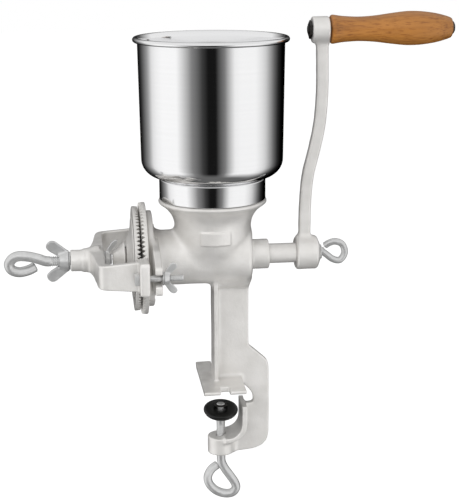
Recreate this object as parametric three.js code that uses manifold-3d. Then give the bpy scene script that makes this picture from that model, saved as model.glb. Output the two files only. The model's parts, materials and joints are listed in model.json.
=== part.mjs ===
// Hand-cranked grain mill with a table clamp: cast body, steel hopper, two toothed grinding
// plates, a yoke with an adjusting screw, a crank with a wooden grip and a clamp screw.
//
// Millimetres, +Z up, +X towards the crank. The part's origin is the centre of the upper jaw's
// underside, where the table top goes, on the clamp screw's axis. Everything is drawn in the
// mill's own axes, whose origin is where the shaft crosses the hopper's centre line, and one
// group moves it all to the part's origin.
import * as THREE from 'three';
import * as BufferGeometryUtils from 'three/addons/utils/BufferGeometryUtils.js';
import Module from 'manifold-3d';

const wasm = await Module();
wasm.setup();

// ---------------------------------------------------------------- driving dimensions
const GAP = 0.3; // left between touching pieces
const SHAFT_HEIGHT = 124.5; // shaft axis above the table face
const CLAMP_X = 6.2; // clamp screw axis, from the hopper's centre line

const SHAFT_R = 9.2;
const BARREL_R = 25.6;
const BARREL_BORE_R = 20.6;
const FLANGE_LEFT = -62;
const EAR_Y = 72; // yoke bolts, out from the shaft axis

const PLATE_TEETH = 38; // each stands for two of the real plate's
const TOOTH_DEPTH = 2.5;

const HOPPER_WALL = 1.1;
const HOPPER_RIM_Z = 199.3;
const NECK_R = 48.6;
const COLLAR_TOP = 54.8;

const CRANK_RADIUS = 206;
const CRANK_HUB_LEFT = 77.6;
const CRANK_HUB_RIGHT = 97.5;

const YOKE_WEB_RIGHT = -101;
const YOKE_BOSS_LEFT = -131.3;
const YOKE_ARM_Y = 60.8;
const YOKE_WEB_HALF_HEIGHT = 10.5; // at its left side; the arms grow taller towards the feet
const YOKE_WEB_LEFT = -108;
const YOKE_ARM_SLOPE = 0.078;

const ADJUST_R = 4.7;
const BOLT_R = 2.9;
const CLAMP_ROD_R = 4.2;
const JAW_TOP = -118.9; // upper jaw, below the shaft
const JAW_BOTTOM = -SHAFT_HEIGHT;
const BOSS_BOTTOM = -196;
const PAD_TILT = THREE.MathUtils.degToRad(12);

// ---------------------------------------------------------------- materials
function finish(name, color, roughness, metalness) {
  return new THREE.MeshStandardMaterial({ name, color, roughness, metalness });
}

const castTin = finish('cast_tin', 0xc9c6c1, 0.5, 0.7);
const stainless = finish('stainless', 0xd8dadc, 0.12, 1.0);
const zinc = finish('zinc', 0xbfc1c2, 0.28, 1.0);
const darkSteel = finish('dark_steel', 0x34312e, 0.4, 1.0);
const beech = finish('beech', 0xc98a3c, 0.4, 0.0);
const blackPad = finish('black_pad', 0x151515, 0.35, 0.1);

// ---------------------------------------------------------------- solids
// A closed manifold-3d solid from a closed geometry, facing out whichever way it was wound.
function solid(geometry) {
  geometry.deleteAttribute('normal');
  geometry.deleteAttribute('uv');
  const merged = BufferGeometryUtils.mergeVertices(geometry, 1e-4);
  const place = merged.getAttribute('position');
  const corner = [new THREE.Vector3(), new THREE.Vector3(), new THREE.Vector3()];
  const kept = [];
  let volume = 0;
  for (let i = 0; i < merged.index.count; i += 3) {
    const ids = [0, 1, 2].map((k) => merged.index.getX(i + k));
    if (ids[0] === ids[1] || ids[1] === ids[2] || ids[0] === ids[2]) continue;
    ids.forEach((id, k) => corner[k].fromBufferAttribute(place, id));
    volume += corner[0].dot(corner[1].clone().cross(corner[2]));
    kept.push(ids);
  }
  const facing = volume < 0 ? kept.map(([a, b, c]) => [a, c, b]) : kept;
  return new wasm.Manifold(new wasm.Mesh({
    numProp: 3,
    vertProperties: new Float32Array(place.array),
    triVerts: new Uint32Array(facing.flat()),
  }));
}

function join(...pieces) {
  return pieces.reduce((whole, piece) => whole.add(piece));
}

function cut(body, ...tools) {
  return tools.reduce((rest, tool) => rest.subtract(tool), body);
}

function toGeometry(manifold) {
  const mesh = manifold.getMesh();
  const geometry = new THREE.BufferGeometry();
  const place = new THREE.BufferAttribute(new Float32Array(mesh.vertProperties), 3);
  geometry.setAttribute('position', place);
  geometry.setIndex(new THREE.BufferAttribute(new Uint32Array(mesh.triVerts), 1));
  geometry.computeVertexNormals();
  return geometry;
}

// Profiles are [radius, along] pairs that start and end on the axis, or close on themselves.
function latheGeometry(profile, sides) {
  return new THREE.LatheGeometry(profile.map(([r, a]) => new THREE.Vector2(r, a)), sides);
}

function latheZ(profile, sides = 24) {
  return solid(latheGeometry(profile, sides).rotateX(Math.PI / 2));
}

function latheX(profile, sides = 24) {
  return solid(latheGeometry(profile, sides).rotateZ(-Math.PI / 2));
}

// A solid round bar along an axis, from one place to another, centred on the other two.
function bar(axis, radius, from, to, centre = [0, 0], sides = 20) {
  const geometry = new THREE.CylinderGeometry(radius, radius, to - from, sides);
  const middle = (from + to) / 2;
  if (axis === 'x') geometry.rotateZ(-Math.PI / 2).translate(middle, centre[0], centre[1]);
  if (axis === 'y') geometry.translate(centre[0], middle, centre[1]);
  if (axis === 'z') geometry.rotateX(Math.PI / 2).translate(centre[0], centre[1], middle);
  return solid(geometry);
}

function ring(axis, outer, inner, from, to, centre = [0, 0], sides = 16) {
  const core = bar(axis, inner, from - 1, to + 1, centre, sides);
  return cut(bar(axis, outer, from, to, centre, sides), core);
}

function block(low, high) {
  const size = high.map((value, k) => value - low[k]);
  const middle = high.map((value, k) => (value + low[k]) / 2);
  return solid(new THREE.BoxGeometry(...size).translate(...middle));
}

const AXES = {
  x: [[0, 1, 0], [0, 0, 1], [1, 0, 0]], // outline in (y, z), thickness along x
  y: [[1, 0, 0], [0, 0, 1], [0, -1, 0]], // outline in (x, z), thickness along -y
  z: [[1, 0, 0], [0, 1, 0], [0, 0, 1]], // outline in (x, y), thickness along z
};

// A flat plate: its outline, and where its thickness starts and ends along the named axis.
function plate(axis, outline, from, to) {
  const shape = outline instanceof THREE.Shape
    ? outline : new THREE.Shape(outline.map(([u, v]) => new THREE.Vector2(u, v)));
  const options = { depth: to - from, bevelEnabled: false, curveSegments: 6 };
  const geometry = new THREE.ExtrudeGeometry(shape, options);
  const basis = AXES[axis].map((v) => new THREE.Vector3(...v));
  const start = axis === 'y' ? -to : from;
  geometry.translate(0, 0, start);
  return solid(geometry.applyMatrix4(new THREE.Matrix4().makeBasis(...basis)));
}

// A round rod bent along a smooth curve through the given places.
function rod(places, radius, steps, sides = 8) {
  const curve = new THREE.CatmullRomCurve3(places.map((p) => new THREE.Vector3(...p)));
  const shape = new THREE.Shape();
  shape.absarc(0, 0, radius, 0, 2 * Math.PI);
  const points = shape.getSpacedPoints(sides).slice(0, sides);
  const options = { steps, extrudePath: curve, bevelEnabled: false };
  return solid(new THREE.ExtrudeGeometry(new THREE.Shape(points), options));
}

// ---------------------------------------------------------------- cast body
function castBody() {
  const barrel = latheX([[0, -60], [BARREL_R, -60], [BARREL_R, 28.5], [24.4, 32.4], [21, 34.6],
    [0, 34.6]], 28);
  const rearBoss = latheX([[0, 29], [13.9, 29], [13.9, 50.4], [12.8, 51.6], [0, 51.6]]);
  const flange = latheX([[0, FLANGE_LEFT], [44, FLANGE_LEFT], [44, -57.4], [42.8, -56.4],
    [34, -55.2], [29, -51.5], [26.4, -46], [BARREL_R, -40], [0, -40]], 28);
  const funnel = latheZ([[0, -9], [14, -7.5], [24, -1.5], [30.5, 7], [34.2, 17], [35.2, 26],
    [35.4, 32], [36.6, 37], [38.8, 41.5], [42.6, 46.4], [46.4, 49.9], [49.2, 52], [49.6, 53.6],
    [48.4, COLLAR_TOP], [0, COLLAR_TOP]], 32);
  const outside = join(barrel, rearBoss, flange, funnel, castEar(-1), castEar(1), post(),
    upperJaw(), clampFrame(), blankPad());

  const bore = bar('x', BARREL_BORE_R, FLANGE_LEFT - 1, 30, [0, 0], 28);
  const bearing = bar('x', SHAFT_R + GAP, 29, 54);
  const throat = latheZ([[0, 0], [18, 0], [27, 9], [31.4, 20], [31.8, 30], [33.5, 37],
    [36.5, 43], [39.6, 47.6], [43, 50.8], [43, 56], [0, 56]], 32);
  const clampBore = bar('z', CLAMP_ROD_R + GAP, BOSS_BOTTOM - 1, -170, [CLAMP_X, 0]);
  const screwHoles = plateScrewPlaces().map(([y, z]) => bar('x', 2.3, -63, -57.5, [y, z], 10));
  return cut(outside, bore, bearing, throat, clampBore, ...screwHoles);
}

// An ear swept back from the flange, with a slot open outwards for the yoke bolt.
function castEar(side) {
  const outline = [[30, 24], [44, 22], [58, 21], [70, 16.5], [82, 11], [82, 4.8], [68, 4.8],
    [68, -4.8], [82, -4.8], [82, -13], [66, -15], [44, -20], [30, -24]];
  const points = side > 0 ? outline : outline.map(([y, z]) => [-y, z]).reverse();
  return plate('x', points, -59, -52.6);
}

// T-section post from the barrel down to the jaw.
function post() {
  const front = block([-0.9, -15, JAW_TOP + 1], [2.6, 15, -16]);
  const web = block([1.6, -3.5, JAW_TOP + 1], [32.8, 3.5, -16]);
  const shoulder = plate('y', [[-5.4, -20], [32.6, -20], [33.2, -23], [32.8, -29], [-0.9, -29],
    [-0.9, -27], [-2.4, -25]], -9, 9);
  return join(front, web, shoulder);
}

// Upper jaw: a flat plate under the post, thinner at both ends and notched in the middle there.
function upperJaw() {
  const notch = (low, high) => block([CLAMP_X - 4.5, low, JAW_BOTTOM - 1],
    [CLAMP_X + 4.5, high, JAW_TOP + 1]);
  const section = [[-43.8, JAW_TOP], [-43.8, -121.8], [-37, JAW_BOTTOM], [37, JAW_BOTTOM],
    [43.8, -121.8], [43.8, JAW_TOP]];
  const jaw = plate('x', section, -13.4, 25.6);
  return cut(jaw, notch(-50, -30), notch(30, 50));
}

// C-shaped frame that carries the clamp screw, with a flange along its inside.
function clampFrame() {
  const web = plate('y', [[20, JAW_TOP + 0.5], [20, JAW_BOTTOM + 0.5], [26, JAW_BOTTOM + 0.5],
    [27, -126.4], [30.5, -129.6], [35, -134.5], [37.4, -140.5], [37.6, -145.7], [28, -147.5],
    [28, -168], [24, -176], [14, -181], [CLAMP_X, -181], [CLAMP_X, -194.5], [22, -195.2],
    [38, -193.6], [46, -190.6], [50.6, -185.5], [52.3, -178], [52.3, -110], [51, -104.6],
    [47.4, -101], [32.8, -88], [20, -88]], -3.5, 3.5);
  const flange = plate('y', [[25.3, -145.7], [29.7, -145.7], [29.7, -164], [28, -171.5],
    [23.5, -177.5], [16, -181.4], [10, -181.8], [10, -177.4], [15, -177], [20.3, -174.2],
    [24, -169.4], [25.3, -163]], -16, 16);
  const boss = bar('z', 12.8, BOSS_BOTTOM, -179, [CLAMP_X, 0], 28);
  return join(web, flange, boss);
}

// Plain raised pad on the front of the funnel.
function blankPad() {
  const drum = bar('z', 36.2, 17.5, 30, [0, 0], 40);
  const sides = [block([-60, -60, 10], [-14.6, 60, 40]), block([12.8, -60, 10], [60, 60, 40])];
  return cut(drum, block([-60, -30, 10], [60, 60, 40]), ...sides);
}

function plateScrewPlaces() {
  return [[0, 26], [0, -26]];
}

// ---------------------------------------------------------------- hopper
function hopperBowl() {
  const bead = [[67.8 + 2.4, HOPPER_RIM_Z], [69.6, 200.9], [67.9, 201.7], [66.2, 200.9],
    [65.6, HOPPER_RIM_Z]];
  const outside = [[NECK_R, 76.2], [52.4, 76.6], [57.4, 79.6], [61.6, 84.4], [64.1, 90.4],
    [64.3, 94], [66, 196.2]];
  const inside = [[66 - HOPPER_WALL, 196.6], [64.3 - HOPPER_WALL, 94], [63, 90.6],
    [60.6, 85], [56.7, 80.5], [52, 77.7], [NECK_R - 3, 77.4], [NECK_R - 3, 76.2]];
  return latheZ([...outside, ...bead, ...inside, outside[0]], 36);
}

// The neck ends in a short cone that centres it in the funnel's mouth.
function hopperNeck() {
  const foot = COLLAR_TOP + GAP;
  return latheZ([[NECK_R, foot], [NECK_R, 75.9], [NECK_R - 2.6, 75.9], [NECK_R - 2.6, foot + 1.2],
    [41, foot + 1.2], [41, 52.4], [37.6, 48.8], [38.4, 48], [42.2, 52], [42.2, foot],
    [NECK_R, foot]], 36);
}

// ---------------------------------------------------------------- auger and rotor
const AUGER_LEFT = -58;
const AUGER_RIGHT = 26;

// Shaft with a worm in the barrel. The worm is a turned bar whose surface is pushed out where
// the flight passes, so it stays one closed skin.
function augerShaft() {
  const pitch = 28;
  const rings = 31;
  const profile = [[0, AUGER_LEFT]];
  for (let i = 0; i < rings; i += 1) {
    profile.push([SHAFT_R, AUGER_LEFT + ((AUGER_RIGHT - AUGER_LEFT) * i) / (rings - 1)]);
  }
  profile.push([0, AUGER_RIGHT]);
  const worm = latheGeometry(profile, 16);
  const place = worm.getAttribute('position');
  for (let i = 0; i < place.count; i += 1) {
    const radius = Math.hypot(place.getX(i), place.getZ(i));
    if (radius < 1) continue;
    const turn = Math.atan2(place.getZ(i), place.getX(i)) / (2 * Math.PI);
    const phase = (((place.getY(i) / pitch + turn) % 1) + 1) % 1;
    const rise = THREE.MathUtils.clamp(3.2 - Math.abs(phase - 0.5) * 16, 0, 1);
    const grown = (SHAFT_R + rise * 10.6) / radius;
    place.setX(i, place.getX(i) * grown);
    place.setZ(i, place.getZ(i) * grown);
  }
  const flight = solid(worm.rotateZ(-Math.PI / 2));
  const shaft = latheX([[0, -92.9], [6.2, -92.9], [7, -92.4], [8.4, -90.6], [11.4, -87],
    [14.4, -84], [15.6, -82.9], [15.6, -81.9], [11, -81.9], [11, -80.7], [SHAFT_R, -80.7],
    [SHAFT_R, CRANK_HUB_LEFT - GAP], [6.5, CRANK_HUB_LEFT - GAP], [6.5, 95.5], [0, 95.5]]);
  const ballSeat = bar('x', 3.3, -94, -87.2, [0, 0], 16);
  const pinHole = bar('x', 2.3, -83.7, -80, [0, 12], 12);
  const crankThread = bar('x', 3.2 + GAP, 84, 97, [0, 0], 12);
  return cut(join(flight, shaft), ballSeat, pinHole, crankThread);
}

function platePlaces() {
  return [[16.3, 16.3], [-16.3, -16.3]];
}

// Cast disc behind the rotating plate, keyed to the shaft by the drive pin.
function plateHolder() {
  const disc = latheX([[0, -80.4], [17.4, -80.4], [18.6, -79.9], [21, -78.6], [25, -77.2],
    [31, -76], [38, -75.4], [38, -74.6], [0, -74.6]], 28);
  const pinHole = bar('x', 2.3, -82, -77.7, [0, 12], 12);
  const screwHoles = platePlaces().map(([y, z]) => bar('x', 2.3, -80, -74, [y, z], 10));
  return cut(disc, bar('x', SHAFT_R + GAP, -82, -73), pinHole, ...screwHoles);
}

// A grinding plate: a ring whose working face carries radial V teeth round its rim.
// `facing` is +1 when the teeth point to +X.
function grindingPlate(outer, tips, back, facing, hole, holes) {
  const inner = outer - 20;
  const middle = back + (tips - back) * 0.6;
  const profile = [[hole, back], [outer, back], [outer, tips - facing * 3],
    [outer - 0.6, tips], [inner, tips], [inner, middle], [hole, middle], [hole, back]];
  const geometry = latheGeometry(profile, PLATE_TEETH * 2);
  const place = geometry.getAttribute('position');
  for (let i = 0; i < place.count; i += 1) {
    const around = Math.atan2(place.getZ(i), place.getX(i)) / (2 * Math.PI);
    const isRoot = Math.round(around * PLATE_TEETH * 2 + PLATE_TEETH * 2) % 2 === 1;
    const onFace = Math.abs(place.getY(i) - tips) < 0.01;
    if (onFace && isRoot) place.setY(i, tips - facing * TOOTH_DEPTH);
  }
  const body = solid(geometry.rotateZ(-Math.PI / 2));
  const clearances = holes.map(([y, z]) => bar('x', 2.3, -80, -60, [y, z], 10));
  return cut(body, ...clearances);
}

function plateScrew(place, headSide, from, to, headAt) {
  const shank = bar('x', 2, from, to, place, 10);
  const head = bar('x', 3.8, headAt, headAt + headSide * 1.6, place, 12);
  return join(shank, head);
}

// ---------------------------------------------------------------- yoke
// One half of the yoke's outline, seen from above: web, arm and foot.
function yokeBody() {
  const half = [[-116.6, 0], [-114.4, 9], [-112.4, 17], [-110.8, 28], [-109.4, 42],
    [-108.2, 56], [-107, 62.4], [-104.4, 65.8], [-100, 66.8], [-71.7, 66.8], [-71.7, 82],
    [-63.8, 82], [-63.8, 60.4], [-68, YOKE_ARM_Y - 0.6], [-73, YOKE_ARM_Y],
    [-96, YOKE_ARM_Y], [-99.6, 58.6], [YOKE_WEB_RIGHT, 55], [YOKE_WEB_RIGHT, 0]];
  const mirrored = half.slice(1, -1).map(([x, y]) => [x, -y]).reverse();
  const shape = new THREE.Shape([...half, ...mirrored].map(([x, y]) => new THREE.Vector2(x, y)));
  const flat = new THREE.ExtrudeGeometry(shape, { depth: 2, bevelEnabled: false })
    .translate(0, 0, -1);
  const place = flat.getAttribute('position');
  for (let i = 0; i < place.count; i += 1) {
    const taller = (place.getX(i) - YOKE_WEB_LEFT) * YOKE_ARM_SLOPE;
    place.setZ(i, place.getZ(i) * (YOKE_WEB_HALF_HEIGHT + taller));
  }
  const strap = solid(flat);
  const boss = latheX([[0, YOKE_BOSS_LEFT], [9.4, YOKE_BOSS_LEFT], [9.9, YOKE_BOSS_LEFT + 0.6],
    [9.9, -115.4], [10.8, -112], [13.4, -109], [13.4, -105], [0, -105]]);
  const bore = bar('x', ADJUST_R + GAP, -133, -99);
  const foot = block([-71.7, 61, -12], [-63.8, 82, 15.8]);
  const holes = [-1, 1].map((side) => bar('x', BOLT_R + GAP, -73, -62, [side * EAR_Y, 0], 16));
  return cut(join(strap, boss, foot, foot.mirror([0, 1, 0])), bore, ...holes);
}

// Square-headed bolt through a yoke foot and a cast ear.
function yokeBolt(side) {
  const y = side * EAR_Y;
  const head = block([-76.4, y - 4.6, -4.6], [-71.7 - GAP, y + 4.6, 4.6]);
  return join(bar('x', BOLT_R, -73, -34, [y, 0], 14), head);
}

// Wing nut along X: its seat at `seat`, its wings leaning away from it.
// `lean` is +1 when the wings point to +X, and `turn` turns them, in degrees.
function wingNut(seat, lean, centreY, hub, hole, wing, turn = 0) {
  const along = (distance) => seat + lean * distance;
  const sleeve = latheX([[hole, along(0)], [hub, along(0)], [hub * 0.72, along(wing.hubLength)],
    [hole, along(wing.hubLength)], [hole, along(0)]], 20);
  const outline = wing.outline.map(([distance, height]) => [along(distance), height]);
  const lower = outline.map(([x, z]) => [x, -z]);
  const half = wing.thickness / 2;
  const wings = [outline, lower].map((points) => plate('y', points, -half, half));
  const low = Math.min(along(-0.5), along(30));
  const high = Math.max(along(-0.5), along(30));
  const body = cut(join(sleeve, ...wings), bar('x', hole, low, high, [0, 0], 20));
  return body.rotate(turn, 0, 0).translate(0, centreY, 0);
}

const LOCK_WING = {
  hubLength: 8.4,
  thickness: 3,
  outline: [[0.2, 3], [0.2, 9], [3.6, 12.2], [8.6, 16.2], [12.4, 19], [16.6, 19.2], [20, 16.2],
    [20.2, 12.6], [17.2, 9.2], [12, 6], [8.2, 3]],
};
const SMALL_WING = {
  hubLength: 4.6,
  thickness: 2.2,
  outline: [[0.4, 2.6], [0.4, 5.4], [2.4, 9], [5.4, 12.8], [8.6, 14], [11, 12.6], [11.4, 10],
    [8.6, 6.6], [4.6, 3.6]],
};
const INNER_WING = {
  hubLength: 4,
  thickness: 2.6,
  outline: [[0.8, 4], [0.8, 8.6], [3.4, 12.8], [6.4, 16.8], [9, 18.4], [11.2, 18],
    [11.8, 16.2], [10.2, 13.6], [6.6, 10.2], [4, 6.6], [3.4, 4]],
};

// Adjusting screw along X, ending in a bent eye.
function adjustingScrew() {
  const eye = rod([[-148, 0, 0], [-154, 0, 0.4], [-160.6, 0, 2.8], [-168.6, 0, 5],
    [-177.4, 0, 6], [-183.4, 0.3, 4], [-187.2, 1, -1.6], [-184.8, 2, -7.4], [-178.2, 3.4, -10],
    [-170, 5.4, -9], [-163.4, 7.2, -6.2]], ADJUST_R, 30);
  return join(bar('x', ADJUST_R, -149.6, -93.6), eye);
}

// ---------------------------------------------------------------- crank
function armPath() {
  const path = [[85.8, 4], [86, 40], [88.4, 72], [94.2, 97], [99, 121], [101, 148],
    [101, 172], [100.6, CRANK_RADIUS]];
  return path.map(([x, z]) => new THREE.Vector3(x, 0, z));
}

function crankArm() {
  const curve = new THREE.CatmullRomCurve3(armPath());
  const half = 5.3;
  const round = 2.4;
  const shape = new THREE.Shape();
  shape.moveTo(-half + round, -half);
  shape.lineTo(half - round, -half);
  shape.absarc(half - round, -half + round, round, -Math.PI / 2, 0);
  shape.lineTo(half, half - round);
  shape.absarc(half - round, half - round, round, 0, Math.PI / 2);
  shape.lineTo(-half + round, half);
  shape.absarc(-half + round, half - round, round, Math.PI / 2, Math.PI);
  shape.lineTo(-half, -half + round);
  shape.absarc(-half + round, -half + round, round, Math.PI, Math.PI * 1.5);
  const options = { steps: 14, extrudePath: curve, bevelEnabled: false, curveSegments: 1 };
  const arm = solid(new THREE.ExtrudeGeometry(shape, options));
  const hub = latheX([[0, CRANK_HUB_LEFT], [14.4, CRANK_HUB_LEFT], [15.8, CRANK_HUB_LEFT + 1.4],
    [15.8, CRANK_HUB_RIGHT - 1.2], [14.6, CRANK_HUB_RIGHT], [7.4, 100.5], [0, 100.5]]);
  const boss = bar('x', 11.7, 90.9, 106.4, [0, CRANK_RADIUS], 28);
  const shaftBore = bar('x', 6.5 + GAP, 76, 95.5 + GAP);
  const screwBore = bar('x', 3.2 + GAP, 90, 102, [0, 0], 12);
  const gripBore = bar('x', 3.9 + GAP, 88, 109, [0, CRANK_RADIUS], 16);
  return cut(join(arm, hub, boss), shaftBore, screwBore, gripBore);
}

function thumbScrew() {
  const eye = rod([[102.6, 0, 0], [107, 0, -2.8], [113.6, 0.2, -7.8], [120.4, 0.4, -8.8],
    [124.8, 0.6, -2], [122.4, 0.8, 6], [116, 1, 9], [110.2, 1.8, 7.6], [106, 3.2, 4.6]],
  3.15, 24);
  const shank = bar('x', 3.15, 87, 104.4, [0, 0], 12);
  const collar = bar('x', 4.6, 102 + GAP, 103.6, [0, 0], 16);
  return join(shank, collar, eye);
}

function woodenGrip() {
  const profile = [[0, 108], [12, 108], [12.9, 109.6], [12.9, 111], [11.6, 120], [10.9, 134],
    [11.7, 148], [13.5, 162], [15, 175], [15.3, 183], [14.8, 193], [13.1, 205], [10.7, 214.4],
    [8.6, 219.6], [0, 219.6]];
  const body = latheX(profile, 20);
  const bore = bar('x', 3.9 + GAP, 107, 222);
  const counterbore = bar('x', 6.4, 216.2, 222);
  return cut(body, bore, counterbore).translate(0, 0, CRANK_RADIUS);
}

function gripBolt() {
  const shank = bar('x', 3.9, 87.2, 217.2);
  const head = latheX([[0, 216.6], [6, 216.6], [6, 220.4], [4.6, 222], [0, 222.6]], 16);
  return join(shank, head).translate(0, 0, CRANK_RADIUS);
}

function gripNut() {
  const nut = bar('x', 8.4, 88.4, 90.6, [0, 0], 6);
  return cut(nut, bar('x', 3.9 + GAP, 87, 92)).translate(0, 0, CRANK_RADIUS);
}

// ---------------------------------------------------------------- table clamp
const PAD_PIVOT = -154.2;

// Domed black pad, drawn flat about its pivot and tilted by its own mesh.
function clampPad() {
  const body = latheZ([[0, -4.6], [9, -4.6], [14.4, -2.4], [16.2, 0.2], [16.5, 1.6],
    [16, 2.9], [14.8, 3.4], [0, 3.4]], 24);
  const hole = latheZ([[0, -6], [5.6, -6], [4.8, 0], [5.6, 5], [0, 5]], 20);
  return cut(body, hole);
}

function padWasher() {
  const centre = [CLAMP_X, 0];
  return ring('z', 6.4, 3 + GAP, PAD_PIVOT + 5.7, PAD_PIVOT + 6.5, centre);
}

// Clamp screw: a waist through the pad, a flattened tip above it and a bent eye below the boss.
function clampScrew() {
  const rodTop = PAD_PIVOT - 7;
  const waist = bar('z', 3, rodTop - 1, PAD_PIVOT + 7.1, [CLAMP_X, 0], 16);
  const tip = latheZ([[0, 0], [4, 0], [3.6, 0.8], [2.2, 1.3], [0, 1.4]], 16)
    .translate(CLAMP_X, 0, PAD_PIVOT + 6.5 + GAP);
  const shank = bar('z', CLAMP_ROD_R, -203, rodTop, [CLAMP_X, 0]);
  const eye = rod([[CLAMP_X, 0, -201], [6.6, 0, -207], [9.6, -0.3, -214], [14.6, -0.4, -221.6],
    [19.4, -0.2, -229.6], [20.6, 0, -235.6], [16.6, 0.2, -240.4], [9, 0.6, -240.9],
    [0.6, 1.2, -237.2], [-5.4, 2.4, -230.4], [-6.4, 3.8, -223.4], [-2.6, 5.6, -217],
    [3.8, 7, -212.9]], CLAMP_ROD_R, 30);
  return join(waist, tip, shank, eye);
}

// ---------------------------------------------------------------- assembly
const mill = new THREE.Group();
mill.name = 'grain_mill';
const shaftAxes = new THREE.Group();
shaftAxes.position.set(-CLAMP_X, 0, SHAFT_HEIGHT);
mill.add(shaftAxes);

function place(name, body, material, parent = shaftAxes) {
  const mesh = new THREE.Mesh(toGeometry(body), material.clone());
  mesh.name = name;
  parent.add(mesh);
  return mesh;
}

place('mill_body', castBody(), castTin);
place('hopper_bowl', hopperBowl(), stainless);
place('hopper_neck', hopperNeck(), stainless);

// Rotor: everything that turns with the shaft.
place('auger_shaft', augerShaft(), castTin);
place('drive_pin', bar('x', 2, -83.4, -78, [0, 12], 12), zinc);
place('rotating_plate_holder', plateHolder(), castTin);
place('rotating_grinding_plate',
  grindingPlate(48.2, -69.3, -74.3, 1, 18, platePlaces()), castTin);
platePlaces().forEach((spot, i) => {
  place(`rotating_plate_screw_${i + 1}`, plateScrew(spot, 1, -78, -71, -71.1), zinc);
});
place('thrust_ball', solid(new THREE.SphereGeometry(3, 12, 8).translate(-90.3, 0, 0)), zinc);

// Fixed plate on the cast flange.
place('stationary_grinding_plate',
  grindingPlate(51.7, -67.9, FLANGE_LEFT - GAP, -1, BARREL_BORE_R, plateScrewPlaces()), castTin);
plateScrewPlaces().forEach((spot, i) => {
  place(`stationary_plate_screw_${i + 1}`, plateScrew(spot, -1, -66, -58, -65.9), zinc);
});

// Yoke, its bolts and the adjusting screw.
place('yoke', yokeBody(), castTin);
for (const [side, label] of [[-1, 'front'], [1, 'rear']]) {
  const y = side * EAR_Y;
  place(`${label}_yoke_bolt`, yokeBolt(side), zinc);
  place(`${label}_bolt_washer`, ring('x', 6.2, BOLT_R + GAP, -52.3, -51.1, [y, 0]), zinc);
  const turn = side < 0 ? 0 : 90;
  place(`${label}_wing_nut`, wingNut(-50.8, 1, y, 5.2, BOLT_R + GAP, SMALL_WING, turn), zinc);
}
place('adjusting_screw', adjustingScrew(), zinc);
place('lock_washer', ring('x', 8.2, ADJUST_R + GAP, -132.8, YOKE_BOSS_LEFT - GAP), zinc);
place('lock_wing_nut', wingNut(-133.1, -1, 0, 9, ADJUST_R + GAP, LOCK_WING), zinc);
place('inner_washer', ring('x', 7.8, ADJUST_R + GAP, YOKE_WEB_RIGHT + GAP, -99.6), zinc);
place('inner_wing_nut', wingNut(-99.3, 1, 0, 7.6, ADJUST_R + GAP, INNER_WING), zinc);

// Crank and its grip.
place('crank_arm', crankArm(), castTin);
place('crank_washer', ring('x', 6.8, 3.2 + GAP, 100.5 + GAP, 102), zinc);
place('thumb_screw', thumbScrew(), zinc);
place('wooden_grip', woodenGrip(), beech);
place('grip_bolt', gripBolt(), darkSteel);
place('grip_nut', gripNut(), darkSteel);

// Table clamp.
place('clamp_screw', clampScrew(), zinc);
place('pad_washer', padWasher(), darkSteel);
const padMesh = place('clamp_pad', clampPad(), blackPad);
padMesh.position.set(CLAMP_X, 0, PAD_PIVOT);
padMesh.rotation.x = PAD_TILT;

export default mill;
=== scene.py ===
"""Looks of a hand-cranked grain mill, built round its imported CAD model.

Every shape is drawn in millimetres in the mill's own axes: the origin is where the shaft crosses
the hopper's centre line, +X goes to the crank and +Z up. `to_part` turns that into the part's
metres. Castings are distance fields that are blended, meshed and smoothed, so they get real
fillets. Turned parts are spun profiles and bent rods are swept.
"""
import json
import math

import bmesh
import bpy
import numpy as np
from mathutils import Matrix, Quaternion, Vector


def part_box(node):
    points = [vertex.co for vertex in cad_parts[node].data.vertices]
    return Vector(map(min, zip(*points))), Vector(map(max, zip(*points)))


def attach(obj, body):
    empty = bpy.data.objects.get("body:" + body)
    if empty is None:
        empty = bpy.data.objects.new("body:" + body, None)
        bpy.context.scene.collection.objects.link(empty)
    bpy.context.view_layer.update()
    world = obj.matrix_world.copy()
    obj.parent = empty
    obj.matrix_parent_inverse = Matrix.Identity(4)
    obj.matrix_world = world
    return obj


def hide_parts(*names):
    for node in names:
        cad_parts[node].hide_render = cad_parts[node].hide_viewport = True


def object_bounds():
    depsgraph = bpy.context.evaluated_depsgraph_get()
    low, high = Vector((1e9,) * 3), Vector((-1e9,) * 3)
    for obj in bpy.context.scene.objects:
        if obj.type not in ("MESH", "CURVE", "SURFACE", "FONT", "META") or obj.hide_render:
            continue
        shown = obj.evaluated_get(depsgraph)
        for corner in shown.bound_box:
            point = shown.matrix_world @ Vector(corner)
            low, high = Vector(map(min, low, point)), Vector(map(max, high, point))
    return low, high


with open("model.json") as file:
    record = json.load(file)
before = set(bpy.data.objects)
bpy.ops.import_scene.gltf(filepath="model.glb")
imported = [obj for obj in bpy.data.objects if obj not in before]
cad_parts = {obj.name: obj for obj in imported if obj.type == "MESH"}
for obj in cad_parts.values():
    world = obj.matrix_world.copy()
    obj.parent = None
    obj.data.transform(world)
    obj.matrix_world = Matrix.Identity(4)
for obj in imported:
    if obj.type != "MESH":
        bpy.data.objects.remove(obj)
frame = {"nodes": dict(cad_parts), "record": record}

cad_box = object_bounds()

# ---------------- frame
MM = 0.001
BEHAVIOUR = frame["record"]["behaviour"]
BODY_OF = {node: body for body, nodes in BEHAVIOUR["bodies"].items() for node in nodes}
SLOT_OF = {row["node"]: row["material_slot"] for row in frame["record"]["subparts"]}
SIDES = {"front": -1, "rear": 1}


def middle(node):
    low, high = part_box(node)
    return (low + high) / 2


ORIGIN = np.array([middle("hopper_bowl").x, 0.0, middle("crank_washer").z])


def to_part(points):
    return np.asarray(points, float) * MM + ORIGIN


def in_mill(point):
    return (np.asarray(point, float) - ORIGIN) / MM


CLAMP_X = in_mill(middle("pad_washer"))[0]
EAR_Y = in_mill(middle("rear_yoke_bolt"))[1]
CRANK_RADIUS = in_mill(middle("wooden_grip"))[2]

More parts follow.
